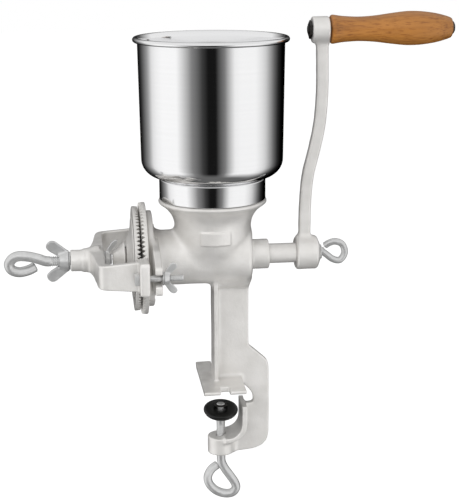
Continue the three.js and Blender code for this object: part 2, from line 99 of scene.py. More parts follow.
# ---------------- driving dimensions
SHAFT_R = 9.2
SHAFT_STUB_R = 6.5  # where the crank's hub sits
BARREL_R = 25.6
BEARING_R = 13.9
CLAMP_BOSS_R = 12.8
BORE_R = 20.6
FLANGE_LEFT = -62.0
FLANGE_R = 44
COLLAR_TOP = 54.8
JAW_TOP = -118.9
JAW_BOTTOM = -124.5
BOSS_BOTTOM = -196.0
RIM_Z = 199.3
RIM_R = 67.8
BEAD_R = 2.4
SHEET = 0.9
NECK_R = 48.6
BOWL_BOTTOM = 76.4
BOWL_CORNER_R = 16.0
HUB_LEFT, HUB_RIGHT = 77.6, 97.5
YOKE_RIGHT = -101.0
YOKE_BOSS_LEFT = -131.3
YOKE_BOSS_R = 9.9
YOKE_FOOT_LEFT, YOKE_FOOT_RIGHT = -71.7, -63.8
ADJUST_R = 4.7
BOLT_R = 2.9
THUMB_R = 3.15
GRIP_BOLT_R = 3.9
CLAMP_ROD_R = 4.2
ROD_GAP = 0.3  # between a rod and the hole that it runs in
WORM_PITCH = 28
WORM_RISE = 10.6
TEETH = 76
TOOTH_DEPTH = 2.9
BODY_PITCH = 0.85  # grid of each casting's distance field
YOKE_PITCH = 0.65
CRANK_PITCH = 0.6


# ---------------- outlines
def flow(points, steps=6, closed=False):
    """A smooth line through the given points (Catmull-Rom), as an array."""
    p = np.asarray(points, float)
    if closed:
        ext = np.vstack([p[-1], p, p[0], p[1]])
    else:
        ext = np.vstack([2 * p[0] - p[1], p, 2 * p[-1] - p[-2]])
    t = np.linspace(0, 1, steps, endpoint=False)[:, None]
    spans = []
    for a, b, c, d in zip(ext, ext[1:], ext[2:], ext[3:]):
        spans.append(0.5 * (2 * b + (c - a) * t + (2 * a - 5 * b + 4 * c - d) * t ** 2
                            + (3 * b - a - 3 * c + d) * t ** 3))
    line = np.vstack(spans)
    return line if closed else np.vstack([line, p[-1]])


def rounded(points, radius, steps=5, closed=True):
    """The same outline with its corners turned into arcs of up to that radius."""
    p = np.asarray(points, float)
    out = []
    for i, corner in enumerate(p):
        if not closed and i in (0, len(p) - 1):
            out.append(corner)
            continue
        back, ahead = p[i - 1] - corner, p[(i + 1) % len(p)] - corner
        lb, la = np.linalg.norm(back), np.linalg.norm(ahead)
        reach = min(radius, lb * 0.45, la * 0.45)
        start, end = corner + back / lb * reach, corner + ahead / la * reach
        for t in np.linspace(0, 1, steps):
            out.append((1 - t) ** 2 * start + 2 * t * (1 - t) * corner + t ** 2 * end)
    return np.array(out)


def arc(centre, radius, start, end, steps=10):
    a = np.radians(np.linspace(start, end, steps))
    return np.stack([centre[0] + radius * np.cos(a), centre[1] + radius * np.sin(a)], 1)


# ---------------- distance fields
AXIS = {"x": 0, "y": 1, "z": 2}


def axes(name):
    """The named axis's number, then the other two in order."""
    return [AXIS[name]] + [i for i in range(3) if i != AXIS[name]]


def soft_edge(side, cap, edge):
    """Distance to a prism from its two distances, with that edge radius."""
    a, b = side + edge, cap + edge
    return np.minimum(np.maximum(a, b), 0) + np.hypot(np.maximum(a, 0), np.maximum(b, 0)) - edge


def polygon_distance(points):
    pts = np.asarray(points, float)
    ends = np.roll(pts, -1, 0)

    def distance(u, v):
        best = np.full(np.shape(u), np.inf)
        inside = np.zeros(np.shape(u), bool)
        for (au, av), (bu, bv) in zip(pts, ends):
            eu, ev = bu - au, bv - av
            wu, wv = u - au, v - av
            t = np.clip((wu * eu + wv * ev) / max(eu * eu + ev * ev, 1e-12), 0, 1)
            best = np.minimum(best, (wu - t * eu) ** 2 + (wv - t * ev) ** 2)
            if ev:
                inside ^= ((av <= v) != (bv <= v)) & (u < eu * (v - av) / ev + au)
        return np.sqrt(best) * np.where(inside, -1, 1)

    return distance


class Field:
    """A distance function with the box it fills, in millimetres."""

    def __init__(self, distance, low, high):
        self.distance = distance
        self.low, self.high = np.asarray(low, float), np.asarray(high, float)

    @classmethod
    def along(cls, axis, distance, *spans):
        """The box comes from the spans along that axis and along the other two."""
        corners = np.zeros((2, 3))
        for i, span in zip(axes(axis), spans):
            corners[:, i] = min(span), max(span)
        return cls(distance, *corners)


def rod_field(axis, radius, lo, hi, centre=(0, 0), edge=1.0):
    k, i, j = axes(axis)

    def distance(*p):
        u, v = p[i] - centre[0], p[j] - centre[1]
        return soft_edge(np.hypot(u, v) - radius, np.abs(p[k] - (lo + hi) / 2) - (hi - lo) / 2,
                         edge)

    return Field.along(axis, distance, (lo, hi), *[(c - radius, c + radius) for c in centre])


def slab_field(low, high, edge=1.0):
    low, high = np.asarray(low, float), np.asarray(high, float)
    mid, half = (low + high) / 2, (high - low) / 2 - edge

    def distance(*p):
        q = [np.abs(p[i] - mid[i]) - half[i] for i in range(3)]
        outside = np.sqrt(sum(np.maximum(a, 0) ** 2 for a in q))
        return outside + np.minimum(np.maximum(np.maximum(q[0], q[1]), q[2]), 0) - edge

    return Field(distance, low, high)


def plate_field(axis, outline, lo, hi, edge=1.0):
    """A flat plate: outline in the other two axes, in order, and its span along the axis."""
    k, i, j = axes(axis)
    flat = polygon_distance(outline)

    def distance(*p):
        cap = np.abs(p[k] - (lo + hi) / 2) - (hi - lo) / 2
        return soft_edge(flat(p[i], p[j]), cap, edge)

    return Field.along(axis, distance, (lo, hi), *np.asarray(outline).T)


def turned_field(axis, profile, centre=(0, 0)):
    """A turned solid from [radius, along] points that start and end on the axis."""
    k, i, j = axes(axis)
    profile = np.asarray(profile, float)
    mirrored = profile[::-1] * [-1, 1]
    flat = polygon_distance(np.vstack([profile, mirrored]))

    def distance(*p):
        return flat(np.hypot(p[i] - centre[0], p[j] - centre[1]), p[k])

    widest = profile[:, 0].max()
    return Field.along(axis, distance, profile[:, 1],
                       *[(c - widest, c + widest) for c in centre])


def ribbon_field(path, half_width, half_thick, edge):
    """A bar of rectangular section along a line in the XZ plane, thick along Y."""
    line = flow(path, 5)

    def distance(x, y, z):
        best = np.full(np.shape(x), np.inf)
        for (ax, az), (bx, bz) in zip(line, line[1:]):
            ex, ez = bx - ax, bz - az
            t = np.clip(((x - ax) * ex + (z - az) * ez) / (ex * ex + ez * ez), 0, 1)
            best = np.minimum(best, (x - ax - t * ex) ** 2 + (z - az - t * ez) ** 2)
        return soft_edge(np.sqrt(best) - half_width, np.abs(y) - half_thick, edge)

    low = [line[:, 0].min() - half_width, -half_thick, line[:, 1].min() - half_width]
    high = [line[:, 0].max() + half_width, half_thick, line[:, 1].max() + half_width]
    return Field(distance, low, high)


BLOCK = 14  # grid cells along a side of the blocks that `net` works through
FAR = 80.0  # farther than any distance that matters
SKIP_MARGIN = 3  # a field this far past its softness is left out


def evaluate(steps, x, y, z):
    """Distance to a solid made of (how, softness, field) steps, where how is add or cut."""
    low = np.array([np.min(x), np.min(y), np.min(z)])
    high = np.array([np.max(x), np.max(y), np.max(z)])
    d = np.full(np.shape(x), FAR)
    for how, soft, field in steps:
        away = np.linalg.norm(np.maximum(np.maximum(field.low - high, low - field.high), 0))
        if away > soft + SKIP_MARGIN:
            if how == "add":
                d = np.minimum(d, away)
            continue
        other = field.distance(x, y, z)
        if how == "cut":
            other = -other
        blend = np.maximum(soft - np.abs(d - other), 0) / max(soft, 1e-6)
        if how == "add":
            d = np.minimum(d, other) - blend ** 2 * soft / 4
        else:
            d = np.maximum(d, other) + blend ** 2 * soft / 4
    return d


def steps_of(adds, cuts):
    """Steps for `evaluate` from (softness, field) pairs, with the cuts last."""
    return [("add", soft, f) for soft, f in adds] + [("cut", soft, f) for soft, f in cuts]


CORNERS = np.array([[i, j, k] for i in (0, 1) for j in (0, 1) for k in (0, 1)])
CELL_RING = ((-1, -1), (0, -1), (0, 0), (-1, 0))  # the four cells round a grid edge
CELL_EDGES = [(a, b) for a in range(8) for b in range(a + 1, 8)
              if np.abs(CORNERS[a] - CORNERS[b]).sum() == 1]


def net_block(solid, low, step, start, counts):
    """Surface cells and quads of one block of the grid, keyed by cell number."""
    index = [np.arange(s - 1, s + BLOCK + 1) for s in start]
    grid = np.meshgrid(*[low[i] + index[i] * step for i in range(3)], indexing="ij")
    values = solid(*grid)
    inside = values < 0
    if inside.all() or not inside.any():
        return None
    corners = [values[tuple(slice(c, c + n - 1) for c, n in zip(corner, values.shape))]
               for corner in CORNERS]
    signs = np.stack([c < 0 for c in corners])
    active = np.argwhere(signs.any(0) & ~signs.all(0))
    at = tuple(active.T)
    local = np.stack([c[at] for c in corners], 1)
    total, hits = np.zeros((len(active), 3)), np.zeros(len(active))
    for a, b in CELL_EDGES:
        crossing = (local[:, a] < 0) != (local[:, b] < 0)
        fa, fb = local[crossing, a], local[crossing, b]
        t = (fa / (fa - fb))[:, None]
        total[crossing] += CORNERS[a] * (1 - t) + CORNERS[b] * t
        hits[crossing] += 1
    cells = active + start - 1
    places = low + (cells + total / hits[:, None]) * step
    for _ in range(2):
        places = settle(solid, places, step * 0.5)
    span = np.array([counts[1] * counts[2], counts[2], 1])
    quads = []
    for axis in range(3):
        u, v = (axis + 1) % 3, (axis + 2) % 3
        first = inside[1:-1, 1:-1, 1:-1]
        ahead = [slice(1, -1)] * 3
        ahead[axis] = slice(2, None)
        second = inside[tuple(ahead)]
        for mask, order in ((first & ~second, 1), (~first & second, -1)):
            spots = (np.argwhere(mask) + start) @ span
            ring = [spots + du * span[u] + dv * span[v] for du, dv in CELL_RING]
            quads.append(np.stack(ring[::order], 1))
    return cells @ span, places, np.vstack(quads)


def settle(solid, places, limit):
    """Moves points onto the zero surface, by at most the limit."""
    probe = 0.02
    value = solid(*places.T)
    slope = np.stack([solid(*(places + probe * axis).T) - value for axis in np.eye(3)], 1) / probe
    strength = np.maximum((slope ** 2).sum(1), 0.25)[:, None]
    move = -value[:, None] * slope / strength
    length = np.linalg.norm(move, axis=1, keepdims=True)
    return places + move * np.minimum(1, limit / np.maximum(length, 1e-9))


def net(steps, step, wobble=None):
    """Vertices and quads of the surface of a stepwise solid, on a grid of that pitch."""
    adds = [f for how, _, f in steps if how == "add"]
    low = np.min([f.low for f in adds], 0) - 3 * step - 1
    high = np.max([f.high for f in adds], 0) + 3 * step + 1
    counts = np.ceil((high - low) / step).astype(int) + BLOCK + 2

    def solid(x, y, z):
        d = evaluate(steps, x, y, z)
        return d + wobble(x, y, z) if wobble else d

    reach = (BLOCK / 2 + 1) * step * math.sqrt(3) + 1
    keys, places, quads = [], [], []
    for i in range(1, counts[0] - 1, BLOCK):
        for j in range(1, counts[1] - 1, BLOCK):
            for k in range(1, counts[2] - 1, BLOCK):
                centre = low + (np.array([i, j, k]) + BLOCK / 2 - 0.5) * step
                if abs(evaluate(steps, *centre[:, None])[0]) > reach:
                    continue
                found = net_block(solid, low, step, np.array([i, j, k]), counts)
                if found:
                    for store, part in zip((keys, places, quads), found):
                        store.append(part)
    names, first = np.unique(np.concatenate(keys), return_index=True)
    faces = np.searchsorted(names, np.vstack(quads))
    return np.vstack(places)[first], faces


def cast_wobble(x, y, z):
    """The slight unevenness of a sand-cast skin."""
    return (0.07 * np.sin(x * 0.31 + 1.7) * np.sin(y * 0.27 + z * 0.11)
            + 0.05 * np.sin(z * 0.47 + x * 0.13) * np.sin(y * 0.39 + 0.6))


# ---------------- meshes
def piece(node, vertices, faces, crease=None):
    """A finished mesh that stands for a CAD node, rides on its body and has its material. Edges
    that turn by more than the crease, in degrees, stay sharp."""
    mesh = bpy.data.meshes.new(node + "_fine")
    mesh.from_pydata(to_part(vertices).tolist(), [], [list(map(int, f)) for f in faces])
    mesh.validate()
    mesh.materials.append(MATERIALS[SLOT_OF[node]])
    mesh.polygons.foreach_set("use_smooth", [True] * len(mesh.polygons))
    bm = bmesh.new()
    bm.from_mesh(mesh)
    bmesh.ops.remove_doubles(bm, verts=bm.verts, dist=1e-7)
    bmesh.ops.recalc_face_normals(bm, faces=bm.faces)
    if crease:
        for e in bm.edges:
            e.smooth = len(e.link_faces) == 2 and e.calc_face_angle(0) < math.radians(crease)
    bm.to_mesh(mesh)
    bm.free()
    obj = bpy.data.objects.new(node + "_fine", mesh)
    bpy.context.scene.collection.objects.link(obj)
    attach(obj, BODY_OF[node])
    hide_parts(node)
    return obj


def cast_piece(node, steps, pitch, wobble=cast_wobble):
    return piece(node, *net(steps, pitch, wobble))


def tube_faces(rings, sides, closed=False):
    """Quads between neighbouring rings of points, and from the last to the first if closed."""
    faces = []
    for i in range(rings if closed else rings - 1):
        low, high = i * sides, (i + 1) % rings * sides
        for j in range(sides):
            n = (j + 1) % sides
            faces.append((low + j, low + n, high + n, high + j))
    return faces


def spin(axis, profile, sides, centre=(0, 0), closed=False, shape=None):
    """A turned skin. An open profile starts and ends on the axis. `shape` may move the points:
    it takes radius, along and angle arrays and returns radius and along."""
    k, *others = axes(axis)
    profile = np.asarray(profile, float)
    body = profile if closed else profile[1:-1]
    angles = np.linspace(0, 2 * math.pi, sides, endpoint=False)
    r, angle = np.meshgrid(body[:, 0], angles, indexing="ij")
    a = np.repeat(body[:, 1][:, None], sides, 1)
    if shape:
        r, a = shape(r, a, angle)
    columns = {k: a, others[0]: r * np.cos(angle) + centre[0],
               others[1]: r * np.sin(angle) + centre[1]}
    vertices = np.stack([columns[i] for i in range(3)], 2).reshape(-1, 3)
    rings = len(body)
    faces = tube_faces(rings, sides, closed)
    if not closed:
        for ring, along, order in ((0, profile[0, 1], -1), (rings - 1, profile[-1, 1], 1)):
            tip = np.zeros(3)
            tip[k] = along
            tip[others] = centre
            vertices = np.vstack([vertices, tip])
            for j in range(sides):
                edge = (ring * sides + j, ring * sides + (j + 1) % sides)[::order]
                faces.append((*edge, len(vertices) - 1))
    return vertices, faces


def spun_piece(node, axis, profile, sides, crease, **more):
    return piece(node, *spin(axis, profile, sides, **more), crease)


def sweep(path, sides, radius):
    """A round rod along a dense line of points. radius(distance, angle) is in millimetres."""
    path = np.asarray(path, float)
    ahead = np.gradient(path, axis=0)
    ahead /= np.linalg.norm(ahead, axis=1, keepdims=True)
    along = np.concatenate([[0], np.cumsum(np.linalg.norm(np.diff(path, axis=0), axis=1))])
    side = np.cross(ahead[0], [0.0, 1.0, 0.2])
    angles = np.linspace(0, 2 * math.pi, sides, endpoint=False)
    rings = []
    for p, t, s in zip(path, ahead, along):
        side = side - t * (side @ t)
        side /= np.linalg.norm(side)
        other = np.cross(t, side)
        r = np.broadcast_to(radius(s, along[-1] - s, angles), angles.shape)
        rings.append(p + r[:, None] * (np.cos(angles)[:, None] * side
                                       + np.sin(angles)[:, None] * other))
    vertices = np.vstack(rings + [path[0], path[-1]])
    first_tip = len(path) * sides
    last_ring = first_tip - sides
    faces = tube_faces(len(path), sides)
    for j in range(sides):
        n = (j + 1) % sides
        faces.append((n, j, first_tip))
        faces.append((last_ring + j, last_ring + n, first_tip + 1))
    return vertices, faces


END_SHARE = 0.72  # what is left of a rod's radius at its very end


def end_round(s, left, edge):
    """How much of a rod's radius is left near its ends, for a rounded edge."""
    near = min(s, left)
    if near >= edge:
        return 1.0
    return END_SHARE + (1 - END_SHARE) * math.sqrt(1 - (1 - near / edge) ** 2)


def thread(s, angles, pitch, depth, start, stop):
    """Depth of a screw thread at one place along a rod."""
    if not start < s < stop:
        return 0.0
    fade = min(1.0, (s - start) / pitch, (stop - s) / pitch)
    phase = (s / pitch + angles / (2 * math.pi)) % 1
    return depth * fade * (1 - np.abs(phase * 2 - 1))


def thread_radius(radius, pitch, depth, start, stop, edge):
    """Radius function of a rod with a thread on one stretch and rounded ends."""
    def at(s, left, angles):
        cut = thread(s, angles, pitch, depth, start, stop)
        return (radius - cut) * end_round(s, left, edge)
    return at


def straight(a, b, spacing):
    """Points from a towards b, without b itself."""
    steps = max(2, int(round(np.linalg.norm(np.subtract(b, a)) / spacing)))
    return np.linspace(a, b, steps, endpoint=False)


# ---------------- materials
def add_node(tree, kind, **inputs):
    made = tree.nodes.new(kind)
    for name, value in inputs.items():
        made.inputs[name].default_value = value
    return made


def add_ramp(tree, source, stops):
    """A colour ramp with (position, colour) stops, where a plain number is a grey."""
    made = add_node(tree, "ShaderNodeValToRGB")
    made.color_ramp.interpolation = "LINEAR"
    elements = made.color_ramp.elements
    while len(elements) < len(stops):
        elements.new(0.5)
    for element, (at, colour) in zip(elements, stops):
        element.position = at
        element.color = (*np.broadcast_to(colour, 3), 1)
    tree.links.new(source, made.inputs["Fac"])
    return made.outputs["Color"]


def add_mix(tree, factor, a, b, blend="MIX"):
    """Two linked colours, mixed by a number or by a linked one."""
    made = tree.nodes.new("ShaderNodeMix")
    made.data_type, made.blend_type = "RGBA", blend
    if isinstance(factor, float):
        made.inputs["Factor"].default_value = factor
    else:
        tree.links.new(factor, made.inputs["Factor"])
    tree.links.new(a, made.inputs["A"])
    tree.links.new(b, made.inputs["B"])
    return made.outputs["Result"]


class Shader:
    """A node material with short ways to add the usual nodes."""

    def __init__(self, name):
        self.material = bpy.data.materials.new(name)
        self.material.use_nodes = True
        self.tree = self.material.node_tree
        self.out = self.tree.nodes["Principled BSDF"]
        self.place = self.tree.nodes.new("ShaderNodeTexCoord").outputs["Object"]

    def link(self, source, target):
        self.tree.links.new(source, target)

    def node(self, kind, **inputs):
        return add_node(self.tree, kind, **inputs)

    def stretched(self, scale):
        made = self.node("ShaderNodeMapping", Scale=scale)
        self.link(self.place, made.inputs["Vector"])
        return made.outputs["Vector"]

    def noise(self, scale, detail=4.0, vector=None, roughness=0.55):
        made = self.node("ShaderNodeTexNoise", Scale=scale, Detail=detail, Roughness=roughness)
        self.link(vector or self.place, made.inputs["Vector"])
        return made.outputs["Fac"]

    def ramp(self, source, stops):
        return add_ramp(self.tree, source, stops)

    def remap(self, source, low, high, new_low, new_high):
        made = self.node("ShaderNodeMapRange")
        for name, value in (("From Min", low), ("From Max", high), ("To Min", new_low),
                            ("To Max", new_high)):
            made.inputs[name].default_value = value
        self.link(source, made.inputs["Value"])
        return made.outputs["Result"]

    def bump(self, *layers):
        """Each layer is (height, strength, distance in metres)."""
        normal = None
        for height, strength, distance in layers:
            made = self.node("ShaderNodeBump", Strength=strength, Distance=distance)
            self.link(height, made.inputs["Height"])
            if normal:
                self.link(normal, made.inputs["Normal"])
            normal = made.outputs["Normal"]
        self.link(normal, self.out.inputs["Normal"])

    def finish(self, colour, roughness=None, **fixed):
        self.link(colour, self.out.inputs["Base Color"])
        if roughness:
            self.link(roughness, self.out.inputs["Roughness"])
        for name, value in fixed.items():
            self.out.inputs[name.replace("_", " ")].default_value = value
        return self.material


def cast_tin_material():
    """Tin-plated casting: light warm grey, satin, tumbled smooth."""
    s = Shader("cast_tin")
    patches = s.noise(45, 3)
    grain = s.noise(900, 5)
    colour = s.ramp(patches, [(0.3, (0.70, 0.685, 0.66)), (0.7, (0.80, 0.785, 0.765))])
    s.bump((grain, 0.25, 0.0004), (s.noise(330, 3), 0.25, 0.0006))
    return s.finish(colour, s.remap(s.noise(160, 4), 0.3, 0.7, 0.36, 0.48), Metallic=0.55)


def stainless_material():
    """Polished spun steel: mirror-like, with the faint rings that spinning leaves."""
    s = Shader("stainless")
    rings = s.noise(1.0, 2, s.stretched((3, 3, 400)))
    colour = s.ramp(rings, [(0.3, (0.88, 0.88, 0.885)), (0.7, (0.90, 0.90, 0.905))])
    return s.finish(colour, s.remap(rings, 0.3, 0.7, 0.07, 0.085), Metallic=1.0)


def zinc_material():
    """Bright zinc plating on drawn rod and small castings."""
    s = Shader("zinc")
    cloud = s.noise(120, 3)
    colour = s.ramp(cloud, [(0.3, (0.57, 0.572, 0.57)), (0.7, (0.68, 0.682, 0.68))])
    s.bump((s.noise(700, 4), 0.10, 0.0003))
    return s.finish(colour, s.remap(cloud, 0.3, 0.7, 0.28, 0.38), Metallic=0.7)


def dark_steel_material():
    """Blackened steel of the grip's bolt and the pad's washer."""
    s = Shader("dark_steel")
    cloud = s.noise(300, 4)
    colour = s.ramp(cloud, [(0.3, (0.018, 0.017, 0.016)), (0.7, (0.07, 0.065, 0.06))])
    s.bump((cloud, 0.15, 0.0004))
    return s.finish(colour, s.remap(cloud, 0.3, 0.7, 0.3, 0.5), Metallic=0.9)


def beech_material():
    """Honey-brown turned beech under varnish: long grain along X with short dark pores."""
    s = Shader("beech")
    along = s.stretched((5, 55, 55))
    bands = s.noise(2.2, 5, along, 0.6)
    pores = s.noise(1.0, 2, s.stretched((90, 900, 900)))
    colour = s.ramp(bands, [(0.3, (0.17, 0.06, 0.010)), (0.45, (0.33, 0.13, 0.024)),
                            (0.6, (0.40, 0.165, 0.033)), (0.75, (0.25, 0.093, 0.016))])
    dark = s.ramp(pores, [(0.52, 1.0), (0.68, (0.55, 0.45, 0.36))])
    grained = add_mix(s.tree, 0.8, colour, dark, "MULTIPLY")
    s.bump((pores, 0.08, 0.0003), (bands, 0.05, 0.0006))
    return s.finish(grained, s.remap(bands, 0.3, 0.7, 0.34, 0.46), Coat_Weight=0.2,
                    Coat_Roughness=0.25)


def black_pad_material():
    """Black painted steel with a soft gloss."""
    s = Shader("black_pad")
    cloud = s.noise(180, 4)
    colour = s.ramp(cloud, [(0.35, 0.003), (0.75, (0.009, 0.009, 0.008))])
    s.bump((s.noise(500, 3), 0.12, 0.0004))
    return s.finish(colour, s.remap(cloud, 0.3, 0.7, 0.3, 0.45), Specular_IOR_Level=0.3,
                    Coat_Weight=0.15, Coat_Roughness=0.15)


MATERIALS = {"cast_tin": cast_tin_material(), "stainless": stainless_material(),
             "zinc": zinc_material(), "dark_steel": dark_steel_material(),
             "beech": beech_material(), "black_pad": black_pad_material()}


# ---------------- cast body
FUNNEL = np.vstack([[[0, -9]], flow([[8, -8.4], [16, -6.4], [24, -1.5], [30.5, 7], [34.2, 17],
                                     [35.2, 26], [35.4, 32], [36.8, 37.4], [39.2, 42],
                                     [42.8, 46.4], [46.6, 49.6]], 3)])


def funnel_field():
    lip = rounded([[48.2, 50.6], [49.7, 52], [49.7, 53.6], [48.4, COLLAR_TOP],
                   [45, COLLAR_TOP]], 0.7, 3, closed=False)
    return turned_field("z", np.vstack([FUNNEL, lip, [[0, COLLAR_TOP]]]))


def ear_field(side):
    outline = rounded([[28, 25], [44, 22], [58, 21], [70, 16.5], [81.8, 11.4], [82, 4.8],
                       [68, 4.8], [66.6, 0], [68, -4.8], [82, -4.8], [82, -13], [66, -15.4],
                       [44, -20.5], [28, -25]], 2.2)
    return plate_field("x", outline * [side, 1], -59, -52.6, 1.0)


def blank_pad_field():
    """A plain raised pad on the front of the funnel."""
    def distance(x, y, z):
        q = [np.hypot(x, y) - 36.2, np.abs(x + 0.9) - 13.7, np.abs(z - 23.7) - 6.3, y + 16]
        d = q[0]
        for side in q[1:]:
            d = soft_edge(d, side, 0.9)
        return d

    return Field(distance, [-15, -37, 17], [13, -16, 31])


def web_outline():
    """The post's and the clamp frame's one web."""
    return rounded([[1, -14], [32.8, -14], [32.8, -88], [47.4, -101], [51, -104.6],
                    [52.3, -110], [52.3, -178], [50.6, -185.5], [46, -190.6], [38, -193.8],
                    [22, -195.4], [CLAMP_X, -194.6], [CLAMP_X, -181], [14, -181], [24, -176],
                    [28, -168], [28, -147.5], [37.6, -145.7], [37.4, -140.5], [35, -134.5],
                    [30.5, -129.6], [27.2, -126.6], [25.8, JAW_BOTTOM + 0.6],
                    [18, JAW_BOTTOM + 0.6], [1, JAW_BOTTOM + 0.6]], 3)


def clamp_flange_outline():
    inner = flow([[25.3, -145.7], [25.3, -162], [24, -169.4], [20.3, -174.2], [15, -177],
                  [9, -177.8]], 4)
    outer = flow([[29.7, -145.7], [29.7, -163.4], [28, -171.5], [23.5, -177.5], [16, -181.4],
                  [9, -182.2]], 4)
    return np.vstack([inner, outer[::-1]])


def body_steps():
    """Barrel, bearing, flange, ears, funnel, post, jaw and clamp frame, then their hollows."""
    notch = [slab_field([CLAMP_X - 4.5, lo, -128], [CLAMP_X + 4.5, hi, -115], 2.0)
             for lo, hi in ((-50, -30), (30, 50))]
    throat = np.vstack([[[0, 0]], flow([[18, 0], [27, 9], [31.4, 20], [31.8, 30], [33.5, 37],
                                        [36.5, 43], [39.6, 47.6], [43, 50.8], [43.2, 57]], 3),
                        [[0, 57]]])
    shoulder = rounded([[-6, -18], [33.6, -18], [33.6, -24], [32.8, -29], [-0.9, -29],
                        [-0.9, -27], [-3, -24]], 3)
    jaw = rounded([[-43.8, JAW_TOP], [-43.8, -121.8], [-37, JAW_BOTTOM], [37, JAW_BOTTOM],
                   [43.8, -121.8], [43.8, JAW_TOP]], 0.6)
    adds = [
        (1, rod_field("x", BARREL_R, FLANGE_LEFT + 1, 34.8, edge=5)),
        (3, rod_field("x", BEARING_R, 20, 51.6, edge=1.2)),
        (11, rod_field("x", FLANGE_R, FLANGE_LEFT, -56.6, edge=1.1)),
        (5, ear_field(-1)), (5, ear_field(1)),
        (6, funnel_field()),
        (4, slab_field([-0.9, -15, JAW_BOTTOM + 1], [3, 15, -14], 1.0)),  # front of the post
        (6, plate_field("y", shoulder, -9, 9, 3)),
        (2.5, plate_field("x", jaw, -13.4, 25.6, 0.8)),
        (4.5, plate_field("y", web_outline(), -3.5, 3.5, 1.1)),
        (3, plate_field("y", clamp_flange_outline(), -16, 16, 1.0)),
        (5, rod_field("z", CLAMP_BOSS_R, BOSS_BOTTOM, -179, (CLAMP_X, 0), 1.4)),
        (0.8, blank_pad_field()),
    ]
    cuts = [
        (0.6, rod_field("x", BORE_R, FLANGE_LEFT - 4, 30, edge=0.3)),
        (0.6, rod_field("x", SHAFT_R + ROD_GAP, 25, 60, edge=0.3)),
        (1.0, turned_field("z", throat)),
        (0.8, rod_field("z", CLAMP_ROD_R + ROD_GAP, BOSS_BOTTOM - 6, -160, (CLAMP_X, 0), 0.3)),
    ] + [(1.5, field) for field in notch]
    return steps_of(adds, cuts)


def make_body():
    cast_piece("mill_body", body_steps(), BODY_PITCH)


# ---------------- hopper
def make_hopper():
    """The bowl with its round lower corner and rolled rim, and the neck that it stands on."""
    corner = (NECK_R, BOWL_BOTTOM + BOWL_CORNER_R)
    steps = 18
    outside = np.vstack([arc(corner, BOWL_CORNER_R, -90, -8, steps), [[64.6, 94], [66, 196.6]]])
    bead = arc((RIM_R, RIM_Z), BEAD_R, -130, 150, 22)
    inside = outside[::-1] - [SHEET, 0]
    inside[-steps:] = arc(corner, BOWL_CORNER_R - SHEET, -8, -90, steps)
    mouth = [[NECK_R - 2.4, BOWL_BOTTOM + SHEET], [NECK_R - 2.4, BOWL_BOTTOM]]
    spun_piece("hopper_bowl", "z", np.vstack([outside, bead, inside, mouth]), 160, 50,
               closed=True)
    foot = COLLAR_TOP + 0.3
    neck = np.vstack([[[42.2, foot], [NECK_R - 0.5, foot]],
                      arc((NECK_R - 0.6, foot + 0.6), 0.6, -90, 0, 4),
                      [[NECK_R, 73.2]], arc((NECK_R - 1.6, 73.6), 1.6, 0, 80, 6),
                      [[NECK_R - 2.6, 76], [NECK_R - 2.6, 74.4], [NECK_R - 1.4, 73.2],
                       [NECK_R - 1.1, foot + 1.3], [41, foot + 1.2], [41, 52.4], [37.6, 48.8],
                       [38.4, 48], [42.2, 52]]])
    spun_piece("hopper_neck", "z", neck, 160, 40, closed=True)


# ---------------- grinding plates and rotor
def plate_teeth(face, facing, inner, outer, phase):
    """V teeth on a plate's face, deepest at the rim and fading out inwards."""
    def shape(r, a, angle):
        on_face = np.abs(a - face) < 0.05
        depth = np.clip((r - inner) / (outer - inner), 0, 1) * TOOTH_DEPTH
        saw = np.abs(((angle / (2 * math.pi) * TEETH + phase) % 1) * 2 - 1)
        saw = np.clip(saw * 1.3 - 0.15, 0, 1)
        return r, a - facing * on_face * depth * saw
    return shape


def grinding_plate(node, outer, tips, back, facing, hole, phase):
    """A ring with teeth up to `tips`, facing along X by that sign, and a recess inside them."""
    toothed = 20
    inner = outer - toothed
    middle_face = back + (tips - back) * 0.6
    rim = [[outer - 0.5, back], [outer, back + facing * 0.5],
           [outer, tips - facing * (TOOTH_DEPTH + 0.2)], [outer - 0.4, tips]]
    face = [[outer - toothed * t, tips] for t in (0.15, 0.3, 0.45, 0.6, 0.8, 1.0)]
    floor = [[inner - 1.2, middle_face], [hole + 0.4, middle_face],
             [hole, middle_face - facing * 0.4], [hole, back + facing * 0.4],
             [hole + 0.4, back]]
    spun_piece(node, "x", rim + face + floor, TEETH * 8, 25, closed=True,
               shape=plate_teeth(tips, facing, inner, outer, phase))


def make_plates():
    grinding_plate("rotating_grinding_plate", 48.2, -69.3, -74.3, 1, 18, 0.0)
    grinding_plate("stationary_grinding_plate", 51.7, -67.9, FLANGE_LEFT - 0.3, -1, BORE_R, 0.5)
    holder = [[0, -80.4], *rounded([[9.5, -80.4], [17.4, -80.4], [21, -78.6], [25, -77.2],
                                    [31, -76], [38, -75.4], [38, -74.6]], 1.2, 5,
                                   closed=False), [0, -74.6]]
    spun_piece("rotating_plate_holder", "x", holder, 96, 40)


